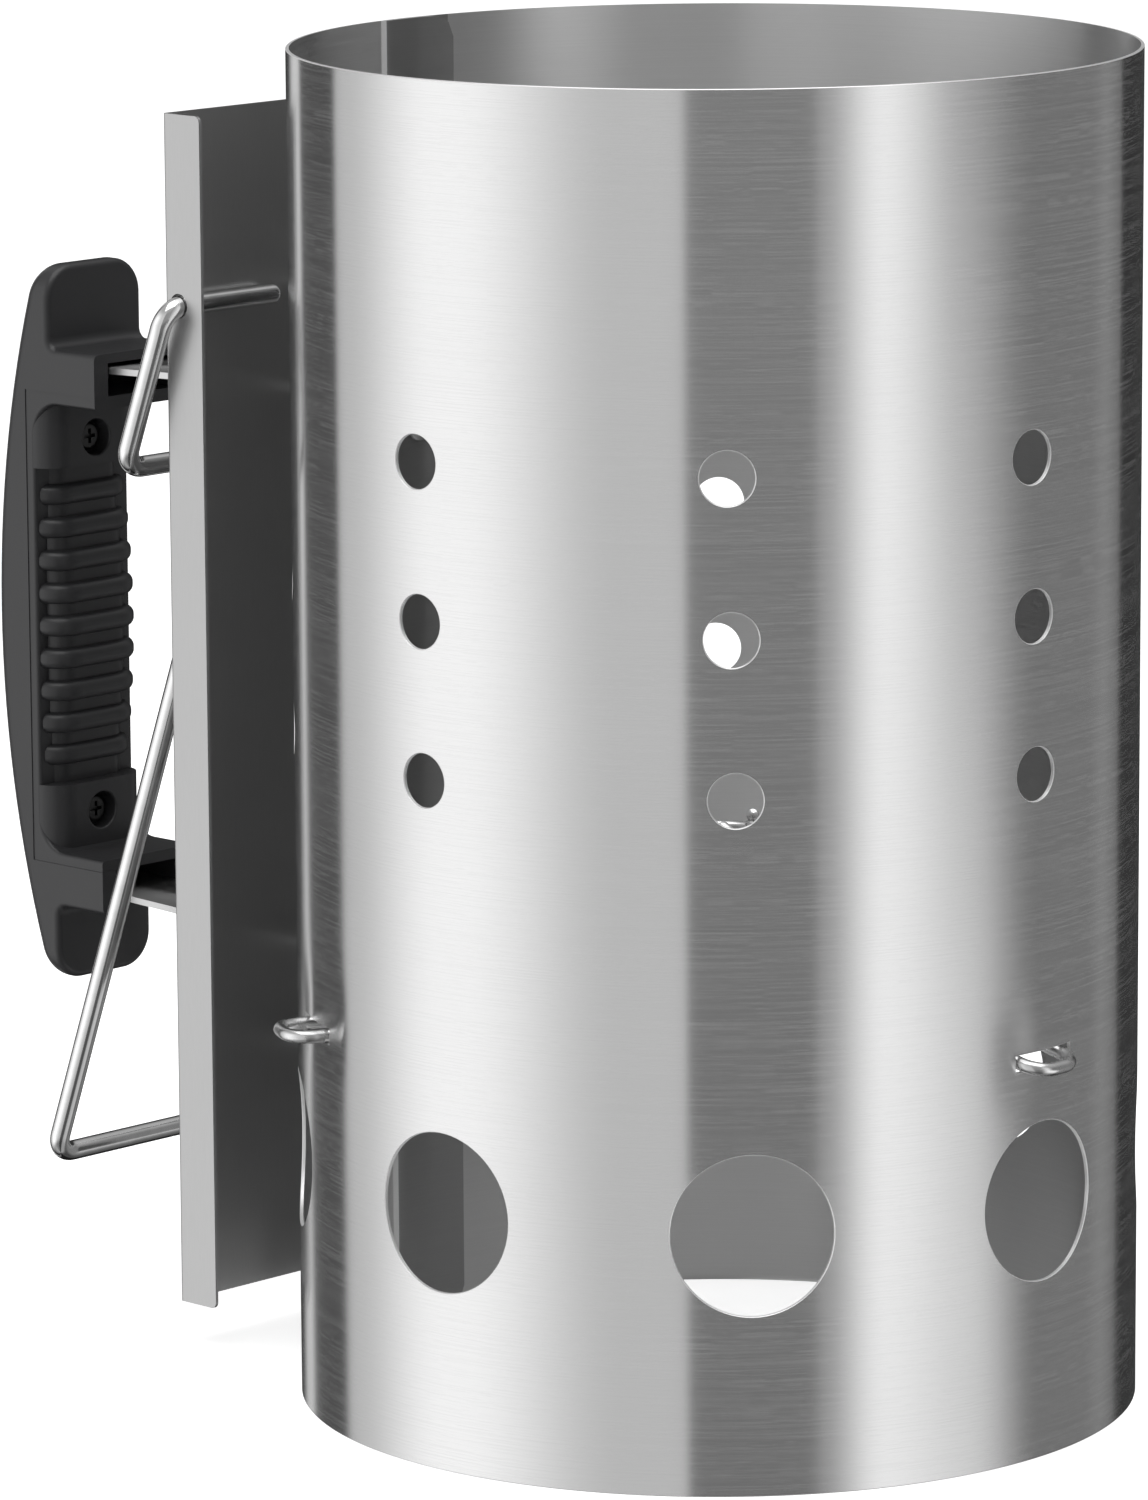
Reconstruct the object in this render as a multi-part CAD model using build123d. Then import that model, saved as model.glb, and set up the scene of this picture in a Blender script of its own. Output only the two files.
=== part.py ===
from build123d import *
from math import asin, atan2, cos, degrees, hypot, radians, sin, sqrt
import os

# Chimney charcoal starter: a rolled stainless tube that stands on its bottom rim, a wire
# grate on three loops in slots of the wall, a heat shield on two spacers, a plastic grip
# round a bent steel strap, and a wire bail that swings in the shield's side flanges.
# Frame: origin at the centre of the bottom rim, +Z up the tube, the grip towards -X.
# Every size is in millimetres and every angle in degrees, measured about +Z from +X.

# ---- tube ----
tube_radius = 95.0
tube_height = 306.0
sheet = 0.8
lap_edge_angle = 173.5      # free edge of the inner lap
lap_step_angle = 186.1      # where the sheet steps inwards to form the lap
lap_corner_radius = 5.0
seam_gap = 0.3

vent_radius = 6.0
vent_rows = (223.3, 188.5, 153.7)
vent_pitch = 44.4
vent_offset = -0.8          # the rolled sheet leaves the columns a little askew
vent_row_lean = 0.5
port_radius = 17.9
port_height = 58.1
port_pitch = 44.1
port_offset = 1.5
columns_each_side = 3

slot_first_angle = 1.9
slot_width = 19.0
slot_height = 3.8
slot_z = 90.0

# ---- grate ----
grate_wire = 3.0
grate_shift = (-0.76, -0.48)    # the grate lies loose, against one side of its slots
# How far each hand-bent loop reaches, measured to the centre line of its wire.
loop_reaches = {"front": 100.0, "left": 101.7, "right": 101.3}
# How much each loop falls for a millimetre outwards: the front one hangs a little.
loop_falls = {"front": 0.24, "left": 0.0, "right": 0.0}
# Where the two tips of each wire end, on the way to the middle.
tip_reaches = {"front": 8.0, "left": 10.5, "right": 9.5}
loop_half = 7.0             # half the distance between the two legs
loop_bend = 5.5
leg_bend_reach = 86.0
leg_bend_radius = 8.0
leg_slope = 0.5425          # rise of a leg for each millimetre inwards
slot_play = 0.02            # keeps a sloping loop just off its slot's lower edge
ring_radii = {"inner": 14.0, "middle": 45.0, "outer": 76.0}
weld_bite = 0.3

# ---- heat shield ----
shield_x = -118.0           # outer face of the web
shield_half = 57.0
shield_flange = 12.0
shield_bottom = 9.5
shield_top = 287.0
shield_bend = 1.0
shield_corner = 1.5

# ---- spacers and rivets ----
spacer_sheet = 1.2
spacer_half = 11.0
spacer_height = 26.0
spacer_foot = 13.0
spacer_bend = 1.8
rivet_radius = 2.0
rivet_hole_radius = 2.05
rivet_drill_length = 6.0     # passes one sheet and nothing else
rivet_head_radius = 3.8
rivet_head_height = 1.5
foot_rivet_offset = 5.5

# ---- strap inside the grip ----
strap_sheet = 1.5
strap_half = 10.5
strap_top = 215.8            # height of the upper leg where it leaves the strap's back
strap_bottom = 89.7
strap_splay = 3.2            # how far each leg spreads on its way to the shield
strap_back_x = -210.8
strap_foot = 23.0
strap_bend = 3.0
strap_screw_hole = 2.3
strap_pocket_clearance = 2.0    # room behind the strap where it enters the shell

# ---- grip ----
grip_half = 15.5
grip_top = 240.6
grip_bottom = 66.1
spine_x = -224.5            # outermost point of the spine's arc
spine_z = 155.0
spine_radius = 265.0
end_face_x = -203.3
end_corner = 8.5
neck_x = -187.1             # the face of both necks towards the shield
upper_neck = (210.5, 220.8)
lower_neck = (84.8, 95.3)
neck_half_opening = 11.0
neck_root_round = 2.5
upper_opening_top = 218.5
parting_x = -211.6          # back of the ribbed insert
frame_x = -208.9            # front of the insert's frame
upper_lip = 3.0              # thickness of the insert's lips on the necks
lower_lip = 2.7
lip_scoop = 8.0
insert_step = 0.2            # the insert stands back from the shell by this much
edge_round = 1.6
spine_round = 5.0

# ---- ribbed insert ----
block_round = 7.0
body_x = -203.4
upper_block_z = 191.5
lower_block_z = 114.0
rib_count = 9
rib_pitch = 7.95
rib_half = 14.6
rib_round = 8.0
rib_thickness = 5.1
rib_middle_z = 152.8
rib_middle_x = -202.0
rib_sag = 2.6              # how much further in the end ribs are than the middle one
rib_depth = 2.5
rib_edge = 2.2
frame_edge = 0.9
strap_groove_half = 10.8
strap_groove_x = -210.0

# ---- grip screws ----
screw_heights = {"upper": 198.0, "lower": 106.5}
screw_recess_radius = 4.4
screw_recess_rim = 0.5
screw_recess_depth = 4.4
screw_head_radius = 3.4
screw_head_height = 2.0
screw_shank_radius = 1.7
screw_length = 10.5
screw_hole_depth = 7.3      # behind the parting face; the spine stays closed
screw_hole_clearance = 0.02
screw_drive = (3.6, 0.9, 1.1)

# ---- bail ----
bail_wire = 4.8
bail_axis_x = -113.5
bail_axis_z = 243.3
bail_hole_radius = 2.8
bail_end_y = 26.0
bail_leg_y = 61.0
bail_knee = (-128.3, 204.8)
bail_arm_y = 25.6
bail_cross = (-194.6, 26.5)
bail_bend = 5.5
bail_end_round = 1.6

deep = 30.0                 # more than any wall, for cutters that go right through
column_range = range(-columns_each_side, columns_each_side + 1)
from_floor = (Align.CENTER, Align.CENTER, Align.MIN)


def about_z(shape, angle):
    """Turn a shape about the tube's axis."""
    return Rot(0, 0, angle) * shape


def along_x(shape):
    """Lay a shape that stands along +Z along +X."""
    return Rot(0, 90, 0) * shape


def span_box(low, high):
    """Box between two corners."""
    size = [b - a for a, b in zip(low, high)]
    middle = [(a + b) / 2 for a, b in zip(low, high)]
    return Pos(*middle) * Box(*size)


def edges_at(shape, test):
    """Edges whose middle point passes a test."""
    return shape.edges().filter_by(lambda edge: test(edge @ 0.5, edge))


def runs_along(edge, axis):
    """Whether an edge is straight and parallel to one axis."""
    span = edge.bounding_box().size
    sizes = {"x": span.X, "y": span.Y, "z": span.Z}
    length = sizes.pop(axis)
    return length > 0.01 and max(sizes.values()) < 0.001


# ---------------------------------------------------------------- tube

def vent_cutter(radius, angle, height):
    """Cylinder that cuts one round hole in the wall."""
    drill = along_x(Cylinder(radius, deep))
    return about_z(Pos(tube_radius, 0, height) * drill, angle)


def slot_cutter(angle):
    """Block that cuts one slot for a loop of the grate."""
    block = Box(deep, slot_width, slot_height)
    return about_z(Pos(tube_radius, 0, slot_z) * block, angle)


def ring_sector(inner, outer, start, end, low, high):
    """Part of a ring about the tube's axis."""
    corners = ((inner, 0, low), (outer, 0, low), (outer, 0, high), (inner, 0, high))
    section = Polyline(*corners, close=True)
    sector = revolve(make_face(section), axis=Axis.Z, revolution_arc=end - start)
    return about_z(sector, start)


def slot_angles():
    return [slot_first_angle + 120.0 * step for step in range(3)]


def tube_rivet_heights():
    """Heights of the rivets that hold each spacer's two feet."""
    reach = spacer_height / 2 + spacer_foot / 2
    return {name: (z - reach, z + reach) for name, z in spacer_heights().items()}


def spacer_heights():
    """The spacers sit behind the strap's feet."""
    upper = strap_top + strap_splay - strap_sheet / 2 + spacer_height / 2
    lower = strap_bottom - strap_splay + strap_sheet / 2 - spacer_height / 2
    return {"upper": upper, "lower": lower}


def make_tube_wall():
    """Rolled sheet with its lap, vents, ports and slots."""
    wall = Cylinder(tube_radius, tube_height, align=from_floor)
    wall -= Cylinder(tube_radius - sheet, tube_height, align=from_floor)
    gap = Pos(-tube_radius, 0, tube_height / 2) * Box(2 * sheet, seam_gap, tube_height)
    wall -= about_z(gap, lap_step_angle - 180.0)

    lap = ring_sector(tube_radius - 2 * sheet, tube_radius - sheet,
                      lap_edge_angle, lap_step_angle + 2.0, 0, tube_height)
    free_y = tube_radius * sin(radians(lap_edge_angle)) - 1.0
    corners = edges_at(lap, lambda p, e: p.Y > free_y and e.length < 1.2 * sheet)
    wall += fillet(corners, lap_corner_radius)

    cutters = []
    for column in column_range:
        port_angle = column * port_pitch + port_offset
        cutters.append(vent_cutter(port_radius, port_angle, port_height))
        for row, height in enumerate(vent_rows):
            angle = column * vent_pitch + vent_offset + vent_row_lean * (row - 1)
            cutters.append(vent_cutter(vent_radius, angle, height))
    cutters += [slot_cutter(angle) for angle in slot_angles()]
    for heights in tube_rivet_heights().values():
        cutters += [vent_cutter(rivet_hole_radius, 180.0, height) for height in heights]
    return wall - cutters


# ---------------------------------------------------------------- grate

def placed_on_grate(shape, angle=0.0):
    """Turn a piece of the grate to its slot, and move it with the grate."""
    return Pos(*grate_shift, 0) * about_z(shape, angle)


def round_wire(path, diameter, end_round=0.0):
    """Round wire along a path, with its two ends eased."""
    start = path @ 0
    section = Plane(origin=start, z_dir=path % 0) * Circle(diameter / 2)
    wire = sweep(section, path=path)
    if end_round:
        ends = [path @ 0, path @ 1]
        rims = edges_at(wire, lambda p, e: min((p - q).length for q in ends) < 0.51 * diameter)
        wire = fillet(rims, end_round)
    return wire


def wire_in_slot(fall=0.0):
    """Height of a wire's centre line where it rests on its slot's lower edge."""
    rest = slot_z - slot_height / 2 + grate_wire / 2 * hypot(1.0, fall)
    return rest + (slot_play if fall else 0.0)


def leg_height(reach):
    """Height of a leg's centre line at a distance from the grate's middle."""
    return wire_in_slot() + (leg_bend_reach - reach) * leg_slope


def slot_edge_reach(angle):
    """Distance from the shifted grate's middle to the wall's outer face."""
    shift = grate_shift[0] * cos(radians(angle)) + grate_shift[1] * sin(radians(angle))
    return sqrt(tube_radius ** 2 - loop_half ** 2) - shift


def make_grate_loop(name, angle):
    """One wire: a loop through the wall, and two legs that rise to the crown."""
    reach, tip, fall = loop_reaches[name], tip_reaches[name], loop_falls[name]
    rest, edge = wire_in_slot(fall), slot_edge_reach(angle)
    # The loop's line runs on inwards until it meets the line of the legs.
    line_start = rest + edge * fall
    leg_start = leg_height(0.0)
    bend = (leg_start - line_start) / (leg_slope - fall)
    bend_z, tip_z, end_z = leg_height(bend), leg_height(tip), rest + (edge - reach) * fall
    points = [(tip, -loop_half, tip_z), (bend, -loop_half, bend_z),
              (reach, -loop_half, end_z), (reach, loop_half, end_z),
              (bend, loop_half, bend_z), (tip, loop_half, tip_z)]
    radii = [leg_bend_radius, loop_bend, loop_bend, leg_bend_radius]
    path = FilletPolyline(*points, radius=radii)
    return placed_on_grate(round_wire(path, grate_wire, end_round=1.2), angle)


def make_grate_ring(radius):
    """Ring welded under the legs."""
    reach = sqrt(radius ** 2 - loop_half ** 2)
    below = (grate_wire - weld_bite) * hypot(1.0, leg_slope)
    ring = Pos(0, 0, leg_height(reach) - below) * Torus(radius, grate_wire / 2)
    return placed_on_grate(ring)


# ---------------------------------------------------------------- heat shield

def strap_rivet_heights():
    """Two rivets in each foot of the strap."""
    heights = spacer_heights()
    return {name: (z - foot_rivet_offset, z + foot_rivet_offset) for name, z in heights.items()}


def make_heat_shield():
    """Sheet with two side flanges bent towards the tube."""
    flange_x = shield_x + shield_flange
    web_to_edge = Pos((shield_x + flange_x) / 2, 0) * Rectangle(shield_flange, 2 * shield_half)
    inside_width = 2 * (shield_half - sheet)
    hollow = Pos((shield_x + flange_x) / 2 + sheet, 0) * Rectangle(shield_flange, inside_width)
    outer = fillet(web_to_edge.vertices().group_by(Axis.X)[0], shield_bend)
    inner = fillet(hollow.vertices().group_by(Axis.X)[0], shield_bend / 2)
    channel = Pos(0, 0, shield_bottom) * extrude(outer - inner, amount=shield_top - shield_bottom)
    corners = edges_at(channel, lambda p, e: p.X > flange_x - 0.01 and runs_along(e, "y"))
    channel = fillet(corners, shield_corner)

    bail_drill = Rot(90, 0, 0) * Cylinder(bail_hole_radius, 3 * shield_half)
    cutters = [Pos(bail_axis_x, 0, bail_axis_z) * bail_drill]
    for heights in strap_rivet_heights().values():
        cutters += [Pos(shield_x, 0, z) * along_x(Cylinder(rivet_hole_radius, 4.0)) for z in heights]
    return channel - cutters


def make_spacer(height):
    """Hat bracket: its crown on the shield's web, its two feet curved to the tube."""
    crown_x = shield_x + sheet
    half = spacer_height / 2
    outline = Pos(crown_x + deep / 2, 0, 0) * Box(deep, 2 * spacer_half, spacer_height)
    outline = fillet(edges_at(outline, lambda p, e: p.X < crown_x + 1 and runs_along(e, "y")), spacer_bend)
    inside = Pos(crown_x + deep / 2 + spacer_sheet, 0, 0) * Box(
        deep, 2 * spacer_half, spacer_height - 2 * spacer_sheet)
    inside = fillet(edges_at(inside, lambda p, e: p.X < crown_x + 2 and runs_along(e, "y")), spacer_bend / 3)
    hat = outline - inside - Cylinder(tube_radius, 2 * spacer_height)

    spread = degrees(asin(spacer_half / tube_radius))
    outside = tube_radius + spacer_sheet
    lower_foot = (-half - spacer_foot, -half + spacer_sheet)
    upper_foot = (half - spacer_sheet, half + spacer_foot)
    for low, high in (lower_foot, upper_foot):
        hat += ring_sector(tube_radius, outside, 180 - spread, 180 + spread, low, high)
    drill = along_x(Cylinder(rivet_hole_radius, rivet_drill_length))
    foot_z = half + spacer_foot / 2
    holes = [Pos(crown_x, 0, z) * drill for z in (-foot_rivet_offset, foot_rivet_offset)]
    holes += [Pos(-tube_radius, 0, z) * drill for z in (-foot_z, foot_z)]
    return Pos(0, 0, height) * (hat - holes)


def rivet(grip):
    """Rivet along +X with two domed heads; its shank starts at x = 0."""
    cap_radius = (rivet_head_radius ** 2 + rivet_head_height ** 2) / (2 * rivet_head_height)
    head = Pos(0, 0, rivet_head_height - cap_radius) * Sphere(cap_radius)
    head &= Cylinder(rivet_head_radius, rivet_head_height, align=from_floor)
    far_head = Pos(0, 0, grip) * head
    near_head = Rot(180, 0, 0) * head
    shank = Cylinder(rivet_radius, grip, align=from_floor)
    return along_x(shank + far_head + near_head)


def make_rivet_pair(start_x, grip, heights):
    """Two rivets on the grip's centre plane."""
    return Compound(children=[Pos(start_x, 0, z) * rivet(grip) for z in heights])


# ---------------------------------------------------------------- strap and grip

def make_handle_strap():
    """One bent strap: two feet on the shield, two legs, and the back inside the grip."""
    foot_x = shield_x - strap_sheet / 2
    upper_z = strap_top + strap_splay
    lower_z = strap_bottom - strap_splay
    points = [(foot_x, upper_z + strap_foot), (foot_x, upper_z), (strap_back_x, strap_top),
              (strap_back_x, strap_bottom), (foot_x, lower_z), (foot_x, lower_z - strap_foot)]
    path = FilletPolyline(*points, radius=strap_bend)
    section = trace(path, line_width=strap_sheet)
    # The trace lies in the XY plane with its second coordinate standing for z.
    strap = Rot(90, 0, 0) * extrude(section, amount=strap_half, both=True)
    rivet_drill = along_x(Cylinder(rivet_hole_radius, rivet_drill_length))
    screw_drill = along_x(Cylinder(strap_screw_hole, rivet_drill_length))
    cutters = []
    for heights in strap_rivet_heights().values():
        cutters += [Pos(foot_x, 0, z) * rivet_drill for z in heights]
    for z in screw_heights.values():
        cutters.append(Pos(strap_back_x, 0, z) * screw_drill)
    return strap - cutters


def spine_at(z):
    """The spine's outer face at one height."""
    drop = z - spine_z
    return spine_x + spine_radius - sqrt(spine_radius ** 2 - drop ** 2)


def shell_profile():
    """Side outline of the outer moulding: spine, end blocks and both necks."""
    arc = ThreePointArc((spine_at(grip_top), 0, grip_top), (spine_x, 0, spine_z),
                        (spine_at(grip_bottom), 0, grip_bottom))
    front = Polyline(
        (spine_at(grip_bottom), 0, grip_bottom), (end_face_x, 0, grip_bottom),
        (end_face_x, 0, lower_neck[0]), (neck_x, 0, lower_neck[0]),
        (neck_x, 0, lower_neck[1]), (parting_x, 0, lower_neck[1]),
        (parting_x, 0, upper_neck[0]), (neck_x, 0, upper_neck[0]),
        (neck_x, 0, upper_neck[1]), (end_face_x, 0, upper_neck[1]),
        (end_face_x, 0, grip_top), (spine_at(grip_top), 0, grip_top))
    return make_face(Wire([*arc.edges(), *front.edges()]))


def make_handle_shell():
    """Outer moulding of the grip."""
    body = extrude(shell_profile(), amount=grip_half, dir=(0, 1, 0), both=True)
    hollows = edges_at(body, lambda p, e: runs_along(e, "y") and abs(p.X - end_face_x) < 0.01
                       and grip_bottom + 5 < p.Z < grip_top - 5)
    body = fillet(hollows, neck_root_round)
    ends = edges_at(body, lambda p, e: runs_along(e, "x")
                    and (p.Z > grip_top - 0.01 or p.Z < grip_bottom + 0.01))
    body = fillet(ends, end_corner)
    spine = edges_at(body, lambda p, e: p.X < spine_x + 25 and p.X < spine_at(p.Z) + 0.3
                     and e.length > 5)
    body = fillet(spine, spine_round)
    faces = edges_at(body, lambda p, e: p.X > end_face_x - 0.01 and abs(p.X - end_face_x) < 0.5
                     and (p.Z > upper_neck[1] + 2 or p.Z < lower_neck[0] - 2))
    body = fillet(faces, edge_round)

    upper_pocket = span_box((strap_back_x - strap_pocket_clearance, -neck_half_opening, upper_neck[0] - 1),
                            (neck_x + 1, neck_half_opening, upper_opening_top))
    lower_pocket = span_box((strap_back_x - strap_pocket_clearance, -neck_half_opening, lower_neck[0] - 1),
                            (neck_x + 1, neck_half_opening, lower_neck[1] + 1))
    body -= [upper_pocket, lower_pocket]
    for z in screw_heights.values():
        drill = Cylinder(screw_shank_radius + screw_hole_clearance, 2 * screw_hole_depth)
        body -= Pos(parting_x, 0, z) * along_x(drill)
    return body


def rib_face(z):
    """Front of the ribs at one height; it bulges in the middle."""
    reach = (z - rib_middle_z) / (rib_pitch * (rib_count - 1) / 2)
    return rib_middle_x - rib_sag * reach ** 2


def rounded_slab(front_x, half_width, rounding, low, high):
    """Slab between two heights whose two front corners are rounded in plan."""
    slab = span_box((spine_x - 8.0, -half_width, low), (front_x, half_width, high))
    slab = fillet(edges_at(slab, lambda p, e: p.X > front_x - 0.01 and runs_along(e, "z")), rounding)
    return slab & span_box((frame_x - 0.5, -half_width, low), (front_x + 1.0, half_width, high))


def rib_height(number):
    """Middle height of a rib; the gaps between ribs have the half numbers."""
    return rib_middle_z + (number - (rib_count - 1) / 2) * rib_pitch


def make_rib(number):
    """One rib with rounded edges."""
    z = rib_height(number)
    rib = rounded_slab(rib_face(z), rib_half, rib_round, z - rib_thickness / 2, z + rib_thickness / 2)
    rims = edges_at(rib, lambda p, e: p.X > frame_x - 0.4 and e.bounding_box().size.Z < 0.01)
    return fillet(rims, rib_edge)


def make_gap_core(number):
    """The core between two ribs; its ends are hidden in the ribs."""
    low = max(rib_height(number - 0.5), lower_block_z)
    high = min(rib_height(number + 0.5), upper_block_z)
    middle = min(max(rib_height(number), rib_height(0)), rib_height(rib_count - 1))
    front = rib_face(middle) - rib_depth
    return rounded_slab(front, rib_half - rib_depth, rib_round - rib_depth, low, high)


def make_grip_insert():
    """Inner moulding: frame, two lips on the necks, two screw blocks, core and ribs."""
    half = grip_half - insert_step
    front = neck_x - insert_step
    insert = span_box((parting_x, -half, lower_neck[1]), (frame_x, half, upper_neck[0]))
    insert += span_box((parting_x, -half, upper_neck[0] - upper_lip), (front, half, upper_neck[0]))
    insert += span_box((parting_x, -half, lower_neck[1]), (front, half, lower_neck[1] + lower_lip))
    scoops = edges_at(insert, lambda p, e: runs_along(e, "y") and abs(p.X - frame_x) < 0.01
                      and lower_neck[1] + 1 < p.Z < upper_neck[0] - 1)
    insert = fillet(scoops, lip_scoop)
    sides = edges_at(insert, lambda p, e: runs_along(e, "z") and abs(p.X - frame_x) < 0.01
                     and e.length > 50)
    insert = fillet(sides, frame_edge)
    insert += rounded_slab(body_x, half, block_round, upper_block_z, upper_neck[0] - upper_lip)
    insert += rounded_slab(body_x, half, block_round, lower_neck[1] + lower_lip, lower_block_z)
    for number in range(rib_count):
        insert += make_rib(number)
    for number in range(rib_count + 1):
        insert += make_gap_core(number - 0.5)

    groove = span_box((parting_x - 1, -strap_groove_half, lower_neck[1] - 1),
                      (strap_groove_x, strap_groove_half, upper_neck[0] + 1))
    cutters = [groove]
    recess = along_x(Cylinder(screw_recess_radius, 2 * screw_recess_depth))
    shank_drill = along_x(Cylinder(strap_screw_hole, 12.0))
    for z in screw_heights.values():
        cutters += [Pos(body_x, 0, z) * recess, Pos(strap_groove_x, 0, z) * shank_drill]
    insert -= cutters
    rims = edges_at(insert, lambda p, e: e.geom_type == GeomType.CIRCLE and abs(p.X - body_x) < 0.01
                    and abs(e.radius - screw_recess_radius) < 0.01)
    return fillet(rims, screw_recess_rim)


def make_grip_screw(height):
    """Pan-head screw that clamps the insert and the strap to the shell."""
    seat_x = body_x - screw_recess_depth
    head = Cylinder(screw_head_radius, screw_head_height, align=from_floor)
    head = fillet(head.edges().group_by(Axis.Z)[-1], 0.9)
    length, width, depth = screw_drive
    for turn in (0, 90):
        head -= Pos(0, 0, screw_head_height - depth / 2) * Rot(0, 0, turn) * Box(length, width, depth)
    shank = Pos(0, 0, -screw_length) * Cylinder(screw_shank_radius, screw_length, align=from_floor)
    shank = chamfer(shank.edges().group_by(Axis.Z)[0], 1.0)
    return Pos(seat_x, 0, height) * along_x(head + shank)


# ---------------------------------------------------------------- bail

def make_bail():
    """Bent wire: two pivot ends, two short legs, two shoulders, two arms and a crossbar."""
    knee_x, knee_z = bail_knee
    cross_x, cross_z = bail_cross
    near = [(bail_axis_x, -bail_end_y, bail_axis_z), (bail_axis_x, -bail_leg_y, bail_axis_z),
            (knee_x, -bail_leg_y, knee_z), (knee_x, -bail_arm_y, knee_z), (cross_x, -bail_arm_y, cross_z)]
    far = [(x, -y, z) for x, y, z in reversed(near)]
    path = FilletPolyline(*near, *far, radius=bail_bend)
    return round_wire(path, bail_wire, end_round=bail_end_round)


# ---------------------------------------------------------------- assembly

def make_parts():
    """Every piece by its name."""
    parts = {
        "tube_wall": make_tube_wall(),
        "heat_shield": make_heat_shield(),
        "handle_strap": make_handle_strap(),
        "handle_shell": make_handle_shell(),
        "grip_insert": make_grip_insert(),
        "bail_wire": make_bail(),
    }
    for name, angle in zip(loop_reaches, slot_angles()):
        parts[f"grate_wire_{name}"] = make_grate_loop(name, angle)
    for name, radius in ring_radii.items():
        parts[f"grate_ring_{name}"] = make_grate_ring(radius)
    shield_grip = strap_sheet + sheet + spacer_sheet
    tube_grip = spacer_sheet + 2 * sheet + 0.1
    for name, height in spacer_heights().items():
        parts[f"shield_spacer_{name}"] = make_spacer(height)
        parts[f"shield_rivets_{name}"] = make_rivet_pair(
            shield_x - strap_sheet, shield_grip, strap_rivet_heights()[name])
        parts[f"tube_rivets_{name}"] = make_rivet_pair(
            -tube_radius - spacer_sheet, tube_grip, tube_rivet_heights()[name])
    for name, height in screw_heights.items():
        parts[f"grip_screw_{name}"] = make_grip_screw(height)
    return parts


os.makedirs("parts", exist_ok=True)
for node, shape in make_parts().items():
    export_step(shape, f"parts/{node}.step")
    box = shape.bounding_box()
    print(node, "solids", len(shape.solids()), "volume", round(shape.volume, 1),
          "size", [round(value, 1) for value in box.size])
print("bail crossbar to hinge", round(hypot(bail_cross[0] - bail_axis_x, bail_cross[1] - bail_axis_z), 1),
      "knee angle", round(degrees(atan2(bail_axis_x - bail_knee[0], bail_axis_z - bail_knee[1])), 1),
      "leg slope", leg_slope)
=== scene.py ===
# %% [markdown]
# # A chimney charcoal starter, dressed for its portrait
#
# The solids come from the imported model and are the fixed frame. This lesson gives every
# visible piece its final shape and finish. What repeats or follows a rule, such as the
# punched wall, the wires, the rings and the rivets, is made with Geometry Nodes.

# %% Load the frame
import bpy
from math import atan2, cos, degrees, hypot, pi, radians, sin, sqrt
from mathutils import Matrix, Vector


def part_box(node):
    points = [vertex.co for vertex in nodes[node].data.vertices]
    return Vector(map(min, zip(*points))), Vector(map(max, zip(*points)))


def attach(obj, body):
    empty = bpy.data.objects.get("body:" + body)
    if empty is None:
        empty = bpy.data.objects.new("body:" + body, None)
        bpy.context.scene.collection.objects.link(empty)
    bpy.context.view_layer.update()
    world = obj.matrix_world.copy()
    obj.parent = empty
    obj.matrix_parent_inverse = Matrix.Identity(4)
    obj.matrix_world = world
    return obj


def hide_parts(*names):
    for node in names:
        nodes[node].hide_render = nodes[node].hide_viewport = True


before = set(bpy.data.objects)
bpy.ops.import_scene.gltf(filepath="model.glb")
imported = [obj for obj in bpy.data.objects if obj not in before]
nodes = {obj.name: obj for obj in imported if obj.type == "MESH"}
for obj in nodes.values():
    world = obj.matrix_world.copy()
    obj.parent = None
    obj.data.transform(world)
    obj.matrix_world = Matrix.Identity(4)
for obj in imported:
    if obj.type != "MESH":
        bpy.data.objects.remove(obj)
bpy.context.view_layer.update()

MM = 0.001                  # Blender counts in metres
print("pieces in the frame:", len(nodes))

# %% [markdown]
# ## Nodes and sums
#
# A node tree is easier to read when each node is one call and its arithmetic is written
# as arithmetic. So the number that a socket carries is wrapped: each sign put to it, such
# as a plus or a less-than, adds one Math node to its tree.

# %% Numbers in a tree
class Number:
    """The number that a socket carries."""

    def __init__(self, socket):
        self.socket = socket

    def __add__(self, other):
        return work_out("ADD", self, other)

    def __radd__(self, other):
        return work_out("ADD", other, self)

    def __sub__(self, other):
        return work_out("SUBTRACT", self, other)

    def __rsub__(self, other):
        return work_out("SUBTRACT", other, self)

    def __mul__(self, other):
        return work_out("MULTIPLY", self, other)

    def __truediv__(self, other):
        return work_out("DIVIDE", self, other)

    def __pow__(self, other):
        return work_out("POWER", self, other)

    def __abs__(self):
        return work_out("ABSOLUTE", self)

    def __gt__(self, other):
        return work_out("GREATER_THAN", self, other)

    def __lt__(self, other):
        return work_out("LESS_THAN", self, other)


# %% Helpers for nodes
def feed(socket, value):
    """Fill an input with a value, or link it to what another node gives."""
    if isinstance(value, Number):
        value = value.socket
    if isinstance(value, bpy.types.NodeSocket):
        socket.id_data.links.new(value, socket)
    else:
        socket.default_value = value


def add(tree, kind, inputs=None, **options):
    """One node; an input is given by its name or number."""
    node = tree.nodes.new(kind)
    for name, value in options.items():
        setattr(node, name, value)
    for name, value in (inputs or {}).items():
        feed(node.inputs[name], value)
    return node


def get(tree, kind, inputs=None, output=0, **options):
    """What one new node gives."""
    return add(tree, kind, inputs, **options).outputs[output]


def point(tree, x=0.0, y=0.0, z=0.0):
    """A place, a size or a step, from its three numbers."""
    return get(tree, "ShaderNodeCombineXYZ", {"X": x, "Y": y, "Z": z})


def parts_of(tree, vector):
    """The three numbers of a place."""
    return [Number(part) for part in add(tree, "ShaderNodeSeparateXYZ", {"Vector": vector}).outputs]


# %% Helpers for sums
def work_out(operation, *values):
    """One Math node, such as a sine or the larger of two numbers."""
    tree = next(value.socket.id_data for value in values if isinstance(value, Number))
    return Number(get(tree, "ShaderNodeMath", dict(enumerate(values)), operation=operation))


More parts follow.
